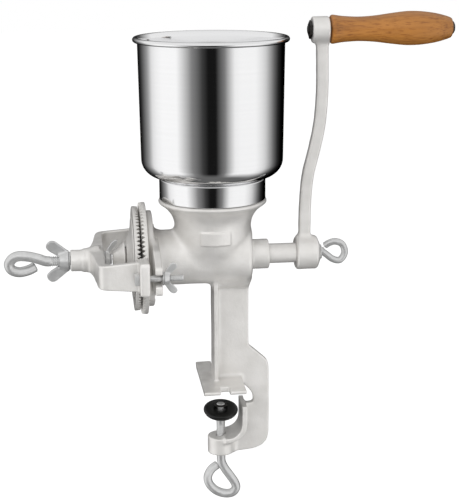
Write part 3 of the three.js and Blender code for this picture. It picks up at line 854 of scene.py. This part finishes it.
def make_auger():
    """Shaft end and collar, worm, and the bright shaft on to the crank."""
    shaft = rounded([[6.2, -92.9], [7.2, -92.2], [8.4, -90.6], [11.4, -87], [14.4, -84],
                     [15.6, -82.9], [15.6, -81.9], [11, -81.9], [11, -80.7], [SHAFT_R, -80.7],
                     [SHAFT_R, -58.2]], 0.4, 3, closed=False)
    worm = [[SHAFT_R, a] for a in np.linspace(-57.9, 25.9, 200)]
    right = rounded([[SHAFT_R, 26.2], [SHAFT_R, HUB_LEFT - 0.3], [SHAFT_STUB_R, HUB_LEFT - 0.3],
                     [SHAFT_STUB_R, 95.5]], 0.3, 3, closed=False)
    profile = np.vstack([[[0, -92.9]], shaft, worm, right, [[0, 95.5]]])

    def flight(r, a, angle):
        phase = (a / WORM_PITCH - angle / (2 * math.pi)) % 1
        rise = np.clip(3.0 - np.abs(phase - 0.5) * 15, 0, 1)
        ends = np.clip(np.minimum(a + 58, 26 - a) / 1.5, 0, 1)
        return r + rise ** 0.7 * ends * WORM_RISE, a

    spun_piece("auger_shaft", "x", profile, 72, 40, shape=flight)


# ---------------- yoke and its fasteners
def strap_field(outline, edge):
    """The yoke's strap: its outline from above, growing taller towards the feet."""
    flat = polygon_distance(outline)

    def distance(x, y, z):
        half_height = 10.5 + 0.078 * (x + 108)
        return soft_edge(flat(x, y), np.abs(z) - half_height, edge)

    return Field(distance, [-117, -82, -14], [YOKE_FOOT_RIGHT, 82, 14])


def make_yoke():
    """Boss, web, two arms and two feet, as one casting. `half` is the rear half from above."""
    half = [[-116.6, 0], [-114.4, 9], [-112.4, 17], [-110.8, 28], [-109.4, 42], [-108.2, 56],
            [-107, 62.4], [-104.4, 65.8], [-100, 66.8], [-74, 66.8], [YOKE_FOOT_LEFT, 68.2],
            [YOKE_FOOT_LEFT, 82], [YOKE_FOOT_RIGHT, 82], [YOKE_FOOT_RIGHT, 60.4], [-68, 60.2],
            [-73, 60.8], [-96, 60.8], [-99.6, 58.6], [YOKE_RIGHT, 55], [YOKE_RIGHT, 0]]
    mirrored = [[x, -y] for x, y in half[1:-1]][::-1]
    flare = [[0, -119], [YOKE_BOSS_R, -119], [YOKE_BOSS_R, -115.4], [10.8, -112], [13.2, -109],
             [13.2, -105.4], [0, -105.4]]
    adds = [
        (1, strap_field(rounded(half + mirrored, 2.4, 4), 1.2)),
        (3, rod_field("x", YOKE_BOSS_R, YOKE_BOSS_LEFT, -106, edge=1.0)),
        (4, turned_field("x", flare)),
    ]
    adds += [(2, slab_field([YOKE_FOOT_LEFT, side * 71 - 11, -12.6],
                            [YOKE_FOOT_RIGHT, side * 71 + 11, 15.8], 1.2))
             for side in SIDES.values()]
    cuts = [(0.5, rod_field("x", ADJUST_R + ROD_GAP, -140, -95, edge=0.3))]
    cuts += [(0.5, rod_field("x", BOLT_R + ROD_GAP, -80, -55, (side * EAR_Y, 0), 0.3))
             for side in SIDES.values()]
    cast_piece("yoke", steps_of(adds, cuts), YOKE_PITCH)


def wing_nut(node, seat, lean, centre_y, hub, hole, wing, length, thick, pitch, flat=False):
    """A cast wing nut along X, on the side of its seat that `lean` says. `wing` is one lobe's
    outline, as distance from seat and height. The wings stand up and down, or front and back
    when `flat`."""
    lobe = flow([[seat + lean * d, h] for d, h in wing], 5, closed=True)
    sleeve = rounded([[hub, seat], [hub * 0.74, seat + lean * length]], 0.6, closed=False)
    profile = np.vstack([[[0, seat]], sleeve, [[0, seat + lean * length]]])
    steps = [("add", 0.5, turned_field("x", profile, (centre_y, 0)))]
    for sign in (1, -1):
        shift, middle_y = (centre_y, 0) if flat else (0, centre_y)
        outline = lobe * [1, sign] + [0, shift]
        field = plate_field("z" if flat else "y", outline, middle_y - thick / 2,
                            middle_y + thick / 2, 0.8)
        steps.append(("add", 2.2, field))
    span = sorted((seat - lean * 4, seat + lean * (length + 6)))
    steps.append(("cut", 0.4, rod_field("x", hole, *span, (centre_y, 0), 0.2)))
    cast_piece(node, steps, pitch, wobble=None)


LOCK_WING = [[0.4, 4], [0.3, 8.8], [3.6, 12], [8.6, 16], [12.4, 18.8], [16.4, 19], [19.6, 16.2],
             [20, 12.8], [17, 9.4], [12, 6.2], [8.2, 4]]
SMALL_WING = [[0.5, 2.9], [0.5, 5.3], [2.4, 8.8], [5.4, 12.6], [8.6, 13.8], [10.9, 12.4],
              [11.2, 10], [8.5, 6.8], [4.6, 3.8]]
INNER_WING = [[1, 4.6], [0.9, 8.4], [3.4, 12.6], [6.4, 16.6], [9, 18.2], [11, 17.8],
              [11.6, 16.2], [10, 13.4], [6.6, 10], [3.8, 6.8], [3.2, 4.6]]


def washer(node, outer, inner, lo, hi, centre=(0, 0), axis="x"):
    edge = min(0.35, (hi - lo) / 3)
    profile = [[inner, lo + edge], [inner + edge, lo], [outer - edge, lo], [outer, lo + edge],
               [outer, hi - edge], [outer - edge, hi], [inner + edge, hi], [inner, hi - edge]]
    spun_piece(node, axis, profile, 48, 30, centre=centre, closed=True)


def yoke_bolt(node, y):
    """A square-headed bolt, with its points close together where it has a thread."""
    path = np.vstack([straight((-73, y, 0), (-55, y, 0), 1.5),
                      straight((-55, y, 0), (-34, y, 0), 0.14), [[-34, y, 0]]])
    shank = sweep(path, 32, thread_radius(BOLT_R, 1.4, 0.6, 18, 39, 1.0))
    head = boxy([-76.4, y - 4.6, -4.6], [-72.0, y + 4.6, 4.6], 0.6)
    piece(node, *merged(shank, head), 30)


def boxy(low, high, edge):
    """A box with rounded edges."""
    bm = bmesh.new()
    bmesh.ops.create_cube(bm, size=1)
    low, high = np.array(low), np.array(high)
    for v in bm.verts:
        v.co = Vector(low + (np.array(v.co) + 0.5) * (high - low))
    bmesh.ops.bevel(bm, geom=bm.edges[:], offset=edge, segments=3, profile=0.6,
                    affect="EDGES")
    bm.verts.index_update()
    vertices = np.array([v.co[:] for v in bm.verts])
    faces = [[v.index for v in f.verts] for f in bm.faces]
    bm.free()
    return vertices, faces


def merged(first, second):
    """Two meshes as one."""
    (points, faces), (more_points, more_faces) = first, second
    count = len(points)
    return (np.vstack([points, more_points]),
            [*faces, *([i + count for i in face] for face in more_faces)])


def make_yoke_fasteners():
    for label, side in SIDES.items():
        y = side * EAR_Y
        yoke_bolt(f"{label}_yoke_bolt", y)
        bolt_hole = BOLT_R + ROD_GAP
        washer(f"{label}_bolt_washer", 6.2, bolt_hole, -52.3, -51.1, (y, 0))
        wing_nut(f"{label}_wing_nut", -50.8, 1, y, 5.2, bolt_hole, SMALL_WING, 4.6, 2.2, 0.32,
                 flat=side > 0)
    hole = ADJUST_R + ROD_GAP
    washer("lock_washer", 8.2, hole, -132.8, -131.6)
    wing_nut("lock_wing_nut", -133.1, -1, 0, 9, hole, LOCK_WING, 8.4, 3.0, 0.4)
    washer("inner_washer", 7.8, hole, -100.7, -99.6)
    wing_nut("inner_wing_nut", -99.3, 1, 0, 7.6, hole, INNER_WING, 4.0, 2.6, 0.36)
    make_adjusting_screw()


def make_adjusting_screw():
    """A threaded rod with its bent eye on the left."""
    eye = flow([[-148, 0, 0], [-154, 0, 0.4], [-160.6, 0, 2.8], [-168.6, 0, 5],
                [-177.4, 0, 6], [-183.4, 0.3, 4], [-187.2, 1, -1.6], [-184.8, 2, -7.4],
                [-178.2, 3.4, -10], [-170, 5.4, -9], [-163.4, 7.2, -6.2]], 8)
    path = np.vstack([straight((-93.6, 0, 0), (-148, 0, 0), 0.2), eye])
    radius = thread_radius(ADJUST_R, 1.75, 0.85, 0.4, 57, 0.9)
    piece("adjusting_screw", *sweep(path, 40, radius), 40)


# ---------------- crank and grip
def make_crank():
    """The arm with its hub and upper boss, and the washer and bent-eye screw that hold it."""
    path = [[85.8, 0], [85.9, 20], [86.4, 46], [88.4, 72], [94.2, 97], [99, 121],
            [101, 148], [101, 172], [100.6, 192], [100.6, CRANK_RADIUS]]
    hub = [[0, HUB_LEFT], *rounded([[14.2, HUB_LEFT], [15.8, HUB_LEFT + 1.5],
                                    [15.8, HUB_RIGHT - 1.2], [14.6, HUB_RIGHT + 0.2],
                                    [8, 100.5]], 0.8, 4, closed=False), [0, 100.5]]
    adds = [
        (1, turned_field("x", hub)),
        (5, ribbon_field(path, 5.3, 4.4, 2.2)),
        (5, rod_field("x", 11.7, 90.9, 106.4, (0, CRANK_RADIUS), 1.6)),
    ]
    cuts = [
        (0.4, rod_field("x", SHAFT_STUB_R + ROD_GAP, 70, 95.8, edge=0.2)),
        (0.4, rod_field("x", 3.5, 90, 110, edge=0.2)),
        (0.4, rod_field("x", GRIP_BOLT_R + ROD_GAP, 85, 115, (0, CRANK_RADIUS), 0.2)),
    ]
    arm = cast_piece("crank_arm", steps_of(adds, cuts), CRANK_PITCH)
    arm.visible_glossy = False  # keeps its mirror image off the hopper
    washer("crank_washer", 6.8, 3.5, 100.8, 102)
    eye = flow([[103.4, 0, 0], [107, 0, -2.8], [113.6, 0.2, -7.8], [120.4, 0.4, -8.8],
                [124.8, 0.6, -2], [122.4, 0.8, 6], [116, 1, 9], [110.2, 1.8, 7.6],
                [106, 3.2, 4.6]], 9)
    stem = straight((87, 0, 0), (103.4, 0, 0), 1)

    def radius(s, left, angles):
        collar = 1.3 * math.exp(-((s - 15.9) / 0.7) ** 4)
        return (THUMB_R + collar) * end_round(s, left, 0.6) + 0 * angles

    piece("thumb_screw", *sweep(np.vstack([stem, eye]), 32, radius), 40)


def make_grip():
    """The turned grip, and the bolt and nut that it turns on."""
    outside = flow([[12.9, 110.8], [12.2, 115], [11.5, 121], [10.9, 134], [11.7, 148],
                    [13.5, 162], [15, 175], [15.3, 183], [14.8, 193], [13.1, 205],
                    [10.7, 214.4], [9.3, 218.4]], 5)
    left = [[4.2, 108], [12, 108], [12.6, 108.5], [12.95, 109.4]]
    right = [[8.6, 219.3], [7.6, 219.7], [6.5, 219.4], [6.4, 216.2], [4.2, 216.2]]
    centre = (0, CRANK_RADIUS)
    spun_piece("wooden_grip", "x", np.vstack([left, outside, right]), 96, 40, centre=centre,
               closed=True)
    bolt = [[0, 87.2], [3.5, 87.2], [GRIP_BOLT_R, 87.7], [GRIP_BOLT_R, 216.6], [5.7, 216.6],
            [6, 217], [6, 220.6], [5.6, 221.4], [4.2, 222.3], [2.2, 222.6], [0, 222.6]]
    spun_piece("grip_bolt", "x", bolt, 48, 35, centre=centre)
    hexagon = math.cos(math.pi / 6)

    def six_sides(r, a, angle):
        flat = hexagon / np.cos((angle + math.pi / 6) % (math.pi / 3) - math.pi / 6)
        return np.where(r > 5, r * flat, r), a

    nut = [[4.2, 88.7], [4.6, 88.4], [7.7, 88.4], [8.4, 88.8], [8.4, 90.3], [7.9, 90.6],
           [4.6, 90.6], [4.2, 90.3]]
    spun_piece("grip_nut", "x", nut, 72, 25, centre=centre, closed=True, shape=six_sides)


# ---------------- table clamp
PAD_MOUNT = next(m for m in frame["record"]["mounts"] if m["name"] == "pad_face")
PAD_TILT = math.atan2(-PAD_MOUNT["axis"][1], PAD_MOUNT["axis"][2])
PAD_PIVOT = -154.2
PAD_WASHER = (5.7, 6.5)  # its underside and top above the pivot
CLAMP_TIP = 8.2  # above the pivot


def make_pad():
    """The domed pad, turned about the pivot by the tilt that its mount's axis gives."""
    dome = flow([[8.6, -4.6], [12, -3.9], [14.8, -2], [16.2, 0.2], [16.5, 1.5], [16, 2.7],
                 [14.6, 3.3], [11, 3.4]], 4)
    profile = np.vstack([[[5.6, -4.6]], dome, [[6, 3.4], [5.5, 3.1], [4.9, 0]]])
    vertices, faces = spin("z", profile, 96, closed=True)
    c, s = math.cos(PAD_TILT), math.sin(PAD_TILT)
    turn = np.array([[1, 0, 0], [0, c, s], [0, -s, c]])
    piece("clamp_pad", vertices @ turn + [CLAMP_X, 0, PAD_PIVOT], faces, 40)
    low, high = PAD_WASHER
    washer("pad_washer", 6.4, 3.3, PAD_PIVOT + low, PAD_PIVOT + high, (CLAMP_X, 0), "z")


def make_clamp_screw():
    """A threaded rod from its flattened tip down to its bent eye."""
    eye = flow([[CLAMP_X, 0, -201], [6.6, 0, -207], [9.6, -0.3, -214], [14.6, -0.4, -221.6],
                [19.4, -0.2, -229.6], [20.6, 0, -235.6], [16.6, 0.2, -240.4], [9, 0.6, -240.9],
                [0.6, 1.2, -237.2], [-5.4, 2.4, -230.4], [-6.4, 3.8, -223.4],
                [-2.6, 5.6, -217], [3.8, 7, -212.9]], 8)
    top = PAD_PIVOT + CLAMP_TIP
    path = np.vstack([straight((CLAMP_X, 0, top), (CLAMP_X, 0, top - 18), 0.25),
                      straight((CLAMP_X, 0, top - 18), (CLAMP_X, 0, -201), 0.17), eye])

    def radius(s, left, angles):
        shape = np.interp(s, [0, 0.1, 0.6, 1.3, 1.4, 14.4, 15.2],
                          [1.2, 2.2, 3.6, 4.0, 3.0, 3.0, CLAMP_ROD_R])
        edge = end_round(10, left, 0.9)
        return (shape - thread(s, angles, 1.6, 0.3, 20, 52)) * edge

    piece("clamp_screw", *sweep(path, 40, radius), 40)


def finish_hidden_pieces():
    """Small inner pieces keep their CAD shape and get the right material."""
    for name, obj in frame["nodes"].items():
        obj.data.materials.clear()
        obj.data.materials.append(MATERIALS[SLOT_OF[name]])


# ---------------- camera, floor, light
CAMERA_AZIMUTH = -7.14
CAMERA_ELEVATION = 14.45
CAMERA_DISTANCE = 1165
CAMERA_TARGET = (15.5, 0, 4.6)
CAMERA_LENS = 90.2
CAMERA_ROLL = -0.3
FLOOR_DROP = 0.018  # metres below the mill
DIFFUSE_SHARE = 0.75  # how much of the studio's glow matt surfaces get


def make_camera():
    a, e = math.radians(CAMERA_AZIMUTH), math.radians(CAMERA_ELEVATION)
    back = Vector((math.sin(a) * math.cos(e), -math.cos(a) * math.cos(e), math.sin(e)))
    data = bpy.data.cameras.new("camera")
    data.lens = CAMERA_LENS
    data.sensor_width = 36
    camera = bpy.data.objects.new("camera", data)
    camera.location = Vector(to_part(CAMERA_TARGET)) + back * CAMERA_DISTANCE * MM
    camera.rotation_mode = "QUATERNION"
    roll = Quaternion((0, 0, 1), math.radians(CAMERA_ROLL))
    camera.rotation_quaternion = (-back).to_track_quat("-Z", "Y") @ roll
    bpy.context.scene.collection.objects.link(camera)
    bpy.context.scene.camera = camera


def make_floor():
    """A pale round floor, which lights and shades nothing but itself."""
    mesh = bpy.data.meshes.new("floor")
    bm = bmesh.new()
    bmesh.ops.create_circle(bm, cap_ends=True, radius=6, segments=96)
    bm.to_mesh(mesh)
    bm.free()
    floor = bpy.data.objects.new("floor", mesh)
    floor.location.z = cad_box[0].z - FLOOR_DROP
    shader = Shader("pale_floor")
    tone = shader.ramp(shader.noise(3, 2), [(0.3, (0.93, 0.93, 0.925)), (0.7, 0.95)])
    mesh.materials.append(shader.finish(tone, Roughness=0.8, Emission_Color=(1, 1, 1, 1),
                                        Emission_Strength=0.45))
    for ray in ("diffuse", "glossy", "shadow", "transmission"):
        setattr(floor, "visible_" + ray, False)
    bpy.context.scene.collection.objects.link(floor)


def make_world():
    """Soft studio light: white all round, with a dark strip low in front and dark flags low at
    the back on both sides, which is what polished steel shows."""
    world = bpy.data.worlds.new("studio")
    world.use_nodes = True
    bpy.context.scene.world = world
    tree = world.node_tree
    tree.nodes.clear()

    def compute(operation, a, b):
        node = tree.nodes.new("ShaderNodeMath")
        node.operation = operation
        for socket, value in zip(node.inputs, (a, b)):
            if isinstance(value, float):
                socket.default_value = value
            else:
                tree.links.new(value, socket)
        return node.outputs[0]

    def weighted(u, share_u, v, share_v):
        return compute("ADD", compute("MULTIPLY", u, share_u), compute("MULTIPLY", v, share_v))

    split = add_node(tree, "ShaderNodeSeparateXYZ")
    tree.links.new(add_node(tree, "ShaderNodeTexCoord").outputs["Generated"], split.inputs[0])
    x, y, z = split.outputs
    a, e = math.radians(CAMERA_AZIMUTH), math.radians(CAMERA_ELEVATION)
    ahead = weighted(x, math.sin(a), y, -math.cos(a))
    across = weighted(x, math.cos(a), y, math.sin(a))
    turns = compute("DIVIDE", compute("ARCTAN2", across, ahead), 2 * math.pi)
    # the light low down, from the left back round the front (at 0.5) to the right back
    low_band = add_ramp(tree, compute("ADD", turns, 0.5), [
        (0.0, 0.02), (0.067, 0.2), (0.125, 0.37), (0.167, 0.51), (0.197, 0.79), (0.228, 0.95),
        (0.264, 1.04), (0.342, 1.04), (0.414, 0.247), (0.461, 0.05), (0.487, 0.008),
        (0.522, 0.008), (0.561, 0.22), (0.606, 0.93), (0.633, 1.0), (0.708, 1.0), (0.742, 0.84),
        (0.767, 0.67), (0.794, 0.38), (0.825, 0.2), (0.864, 0.053), (0.917, 0.0)])
    height = compute("ADD", compute("MULTIPLY", z, 0.5), 0.5)
    high = add_ramp(tree, height, [(0.0, 0.13), (0.25, 0.16), (0.45, 0.6), (0.55, 0.9),
                                   (0.75, 0.88), (1.0, 0.8)])
    band_share = add_ramp(tree, height, [(0.06, 0.0), (0.20, 1.0), (0.46, 1.0), (0.54, 0.0)])
    glow = add_mix(tree, band_share, high, low_band)
    # darker straight behind the mill, so that rods and rims get their dark outlines
    behind = weighted(ahead, -math.cos(e), z, -math.sin(e))
    shade = add_ramp(tree, behind, [(0.35, 1.0), (0.6, 0.55), (0.85, 0.1), (0.95, 0.02)])
    rays = add_node(tree, "ShaderNodeLightPath").outputs
    studio = add_node(tree, "ShaderNodeBackground")
    power = compute("SUBTRACT", 1.0, compute("MULTIPLY", rays["Is Diffuse Ray"],
                                             1 - DIFFUSE_SHARE))
    tree.links.new(power, studio.inputs["Strength"])
    tree.links.new(add_mix(tree, 1.0, glow, shade, "MULTIPLY"), studio.inputs["Color"])
    white = add_node(tree, "ShaderNodeBackground", Color=(1, 1, 1, 1), Strength=1.0)
    choose = add_node(tree, "ShaderNodeMixShader")
    for source, socket in zip((rays["Is Camera Ray"], studio.outputs[0], white.outputs[0]),
                              choose.inputs):
        tree.links.new(source, socket)
    output = add_node(tree, "ShaderNodeOutputWorld")
    tree.links.new(choose.outputs[0], output.inputs["Surface"])


def make_lights():
    """Soft boxes high on the left and low in front, which polished steel does not show."""
    centre = Vector(to_part((0, 0, 0)))
    for name, place, size, power in (("high_box", (-0.8, -1.1, 0.95), 0.9, 13),
                                     ("low_box", (0.02, -0.85, -0.27), 0.6, 5)):
        data = bpy.data.lights.new(name, "AREA")
        data.size = size
        data.energy = power
        light = bpy.data.objects.new(name, data)
        light.location = centre + Vector(place)
        light.rotation_mode = "QUATERNION"
        light.rotation_quaternion = (-Vector(place)).to_track_quat("-Z", "Y")
        light.visible_glossy = False
        bpy.context.scene.collection.objects.link(light)


make_camera()
make_body()
make_hopper()
make_plates()
make_auger()
make_yoke()
make_yoke_fasteners()
make_crank()
make_grip()
make_pad()
make_clamp_screw()
finish_hidden_pieces()
make_floor()
make_world()
make_lights()
bpy.context.scene.view_settings.view_transform = "Standard"
